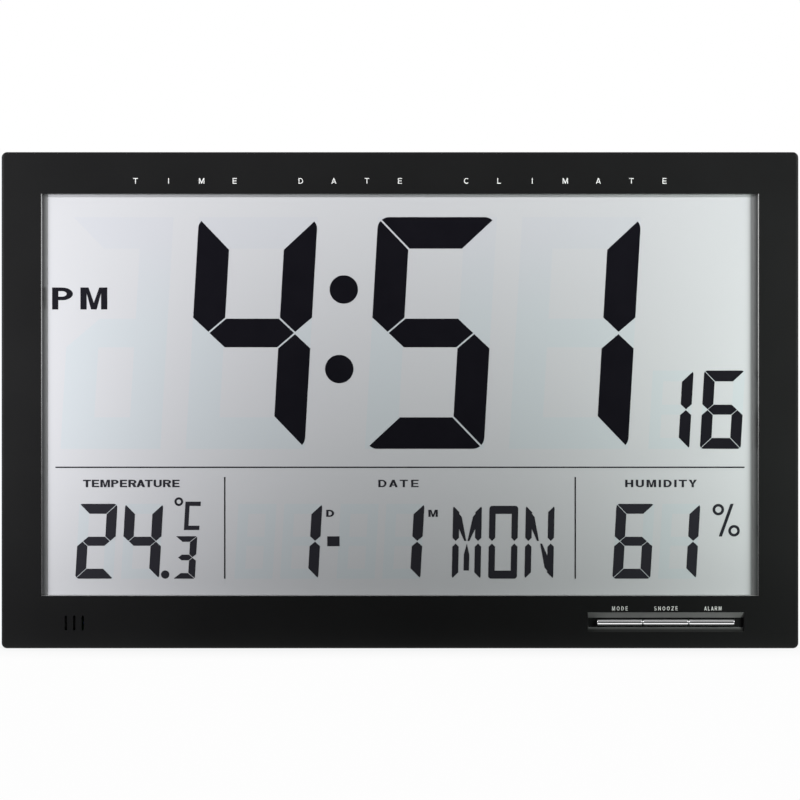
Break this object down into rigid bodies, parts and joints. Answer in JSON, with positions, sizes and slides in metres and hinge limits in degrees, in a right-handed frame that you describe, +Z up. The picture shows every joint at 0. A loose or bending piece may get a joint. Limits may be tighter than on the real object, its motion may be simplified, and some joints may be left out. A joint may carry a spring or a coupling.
{
  "type": "digital wall clock",
  "caption": "Flat rectangular wall clock with a black bezel round a jumbo liquid-crystal display, chrome bar keys in a trough, fold-out feet and keyholes at the back.",
  "frame": {"origin": "middle of the back face, on the wall plane", "axes": "+X to the viewer's right, +Y from the display into the wall, +Z up"},
  "size_m": [0.44, 0.03, 0.274],
  "materials": {
    "case_black": "satin black moulded plastic",
    "cover_black": "fine-grained black moulded plastic",
    "key_chrome": "bright chrome plating",
    "display_film": "matte silver-grey display film",
    "display_ink": "dark switched-on display area",
    "clear_glass": "clear float glass",
    "seal_grey": "grey edge seal",
    "reflector_silver": "silvered film",
    "frame_grey": "dark grey moulded plastic",
    "board_green": "green circuit board",
    "chip_black": "black epoxy",
    "metal_bright": "plated steel",
    "contact_nickel": "nickel-plated spring steel",
    "brass_sheet": "brass sheet",
    "ceramic_white": "silvered piezo ceramic",
    "ferrite_dark": "dark ferrite",
    "coil_copper": "enamelled copper wire",
    "flex_amber": "amber flexible circuit",
    "part_cream": "cream moulded plastic",
    "sensor_blue": "blue epoxy",
    "wire_red": "red insulated wire",
    "wire_grey": "grey insulated wire",
    "cell_wrap": "plain wrapped metal can",
    "screw_steel": "zinc-plated steel"
  },
  "bodies": {
    "case": {"front_bezel": "case_black", "rear_cover": "cover_black", "front_polariser": "display_film", "front_glass": "clear_glass", "rear_glass": "clear_glass", "lcd_seal": "seal_grey", "reflector": "reflector_silver", "time_segments": "display_ink", "seconds_segments": "display_ink", "temperature_segments": "display_ink", "date_segments": "display_ink", "weekday_segments": "display_ink", "humidity_segments": "display_ink", "divider_lines": "display_ink", "lcd_frame": "frame_grey", "lcd_flex": "flex_amber", "flex_connector": "part_cream", "main_board": "board_green", "controller_chip": "chip_black", "crystal": "metal_bright", "capacitors": "chip_black", "receiver_board": "board_green", "receiver_chip": "chip_black", "key_board": "board_green", "switch_bodies": "chip_black", "sensor_board": "board_green", "humidity_sensor": "chip_black", "thermistor": "sensor_blue", "ferrite_rod": "ferrite_dark", "antenna_coil": "coil_copper", "buzzer_plate": "brass_sheet", "buzzer_ceramic": "ceramic_white", "battery_cells": "cell_wrap", "battery_terminals": "contact_nickel", "battery_bridge": "contact_nickel", "battery_leads": "wire_red", "buzzer_leads": "wire_grey", "key_lead": "wire_grey", "sensor_lead": "wire_grey", "antenna_lead": "wire_grey", "receiver_lead": "wire_grey", "case_screws": "screw_steel", "frame_screws": "screw_steel", "board_screws": "screw_steel"},
    "mode_key": {"mode_key": "key_chrome", "mode_plunger": "chip_black"},
    "snooze_key": {"snooze_key": "key_chrome", "snooze_plunger": "chip_black"},
    "alarm_key": {"alarm_key": "key_chrome", "alarm_plunger": "chip_black"},
    "battery_door": {"battery_door": "cover_black"},
    "left_foot": {"left_foot": "cover_black"},
    "right_foot": {"right_foot": "cover_black"}
  },
  "joints": [
    {"name": "mode_press", "type": "slide", "parent": "case", "child": "mode_key", "axis": [0, 1, 0], "range_m": [0, 0.0008], "stiffness_N_per_m": 1500},
    {"name": "snooze_press", "type": "slide", "parent": "case", "child": "snooze_key", "axis": [0, 1, 0], "range_m": [0, 0.0008], "stiffness_N_per_m": 1500},
    {"name": "alarm_press", "type": "slide", "parent": "case", "child": "alarm_key", "axis": [0, 1, 0], "range_m": [0, 0.0008], "stiffness_N_per_m": 1500},
    {"name": "battery_door_hinge", "type": "hinge", "parent": "case", "child": "battery_door", "pos_m": [0, -0.00145, -0.0771], "axis": [-1, 0, 0], "range_deg": [0, 90]},
    {"name": "left_foot_hinge", "type": "hinge", "parent": "case", "child": "left_foot", "pos_m": [-0.15, -0.005, -0.124], "axis": [-1, 0, 0], "range_deg": [0, 100]},
    {"name": "right_foot_hinge", "type": "hinge", "parent": "case", "child": "right_foot", "pos_m": [0.15, -0.005, -0.124], "axis": [-1, 0, 0], "range_deg": [0, 100]}
  ]
}
